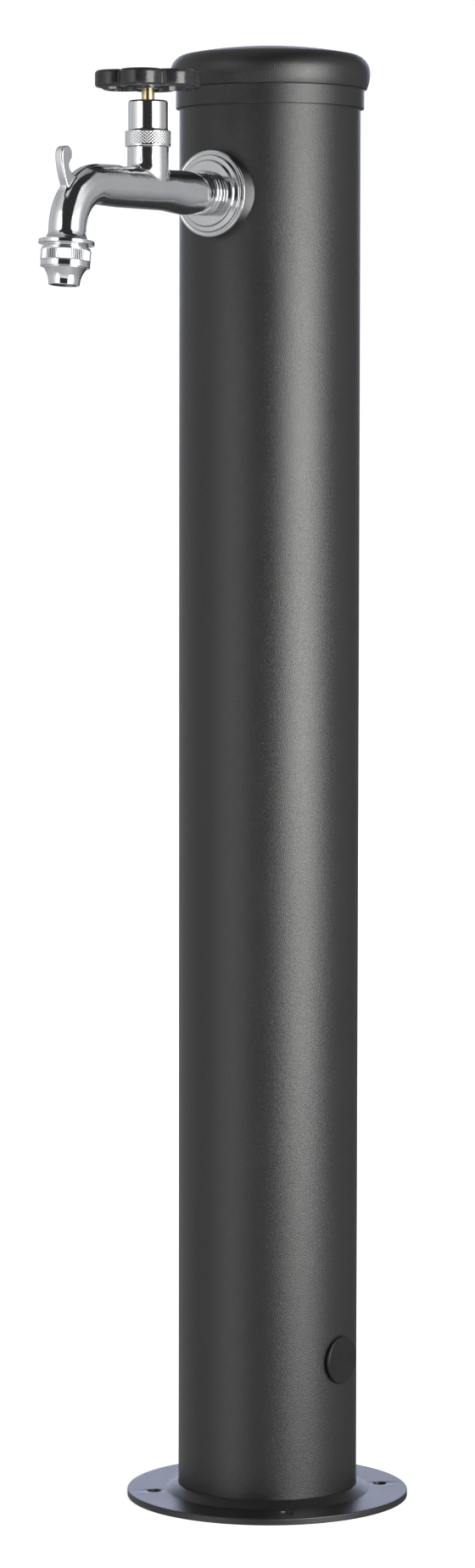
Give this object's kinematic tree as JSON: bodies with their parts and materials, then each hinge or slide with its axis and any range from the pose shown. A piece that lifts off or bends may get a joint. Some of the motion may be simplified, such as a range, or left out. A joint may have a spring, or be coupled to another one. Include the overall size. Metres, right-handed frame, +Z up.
{
  "type": "garden tap fountain",
  "caption": "Round powder-coated garden water column with a domed cap, a foot plate and a chromed bib tap with a lobed handwheel, bucket hook and screw-on outlet nozzle.",
  "frame": {"origin": "centre of the foot plate's underside, on the ground", "axes": "+Z up along the column, -Y the way the tap points, +X towards the side hole near the foot"},
  "size_m": [0.189, 0.3292, 0.9692],
  "materials": {
    "powder_coat": "fine textured satin powder coat, anthracite",
    "chrome": "polished chrome plate on brass",
    "brass": "turned brass",
    "copper_tube": "drawn copper tube",
    "rubber": "black sealing rubber",
    "wheel_black": "glossy black moulding",
    "plug_plastic": "satin black-grey plug",
    "steel": "zinc plated steel",
    "white_plastic": "white plastic"
  },
  "bodies": {
    "column": {"base_flange": "powder_coat", "column_tube": "powder_coat", "saddle_washer": "rubber", "wall_rosette": "chrome", "inner_saddle": "rubber", "shank_backnut": "brass", "elbow_washer": "rubber", "supply_elbow": "brass", "compression_nuts": "brass", "compression_olives": "brass", "supply_pipe": "copper_tube", "inlet_coupling": "brass", "tap_body": "chrome", "headwork_gasket": "rubber", "headwork": "brass", "gland_packing": "white_plastic", "gland_nut": "brass", "bonnet_cover": "chrome"},
    "cap": {"column_cap": "powder_coat"},
    "plug": {"side_hole_plug": "plug_plastic"},
    "valve": {"valve_jumper": "brass", "valve_washer": "rubber", "washer_nut": "brass"},
    "spindle": {"spindle": "brass", "handwheel": "wheel_black", "handwheel_washer": "steel", "handwheel_screw": "steel"},
    "nozzle": {"nozzle": "chrome", "outlet_washer": "rubber", "jet_insert": "white_plastic"},
    "outlet_nut": {"outlet_nut": "chrome"}
  },
  "joints": [
    {"name": "cap_lift", "type": "slide", "parent": "column", "child": "cap", "axis": [0, 0, 1], "range_m": [0, 0.03]},
    {"name": "plug_pull", "type": "slide", "parent": "column", "child": "plug", "axis": [1, 0, 0], "range_m": [0, 0.014]},
    {"name": "valve_lift", "type": "slide", "parent": "column", "child": "valve", "axis": [0, 0, 1], "range_m": [0, 0.006]},
    {"name": "spindle_turn", "type": "hinge", "parent": "valve", "child": "spindle", "pos_m": [0, -0.133, 0.932], "axis": [0, 0, 1], "range_deg": [0, 1080]},
    {"name": "nozzle_drop", "type": "slide", "parent": "column", "child": "nozzle", "axis": [0, -0.0958, -0.9954], "range_m": [0, 0.0054]},
    {"name": "nut_turn", "type": "hinge", "parent": "nozzle", "child": "outlet_nut", "pos_m": [0, -0.21586, 0.84288], "axis": [0, -0.0958, -0.9954], "range_deg": [0, 1080]}
  ],
  "couplings": [
    {"joint": "spindle_turn", "follows": "valve_lift", "rad_per_m": 3141.6},
    {"joint": "nut_turn", "follows": "nozzle_drop", "rad_per_m": 3490.7}
  ]
}
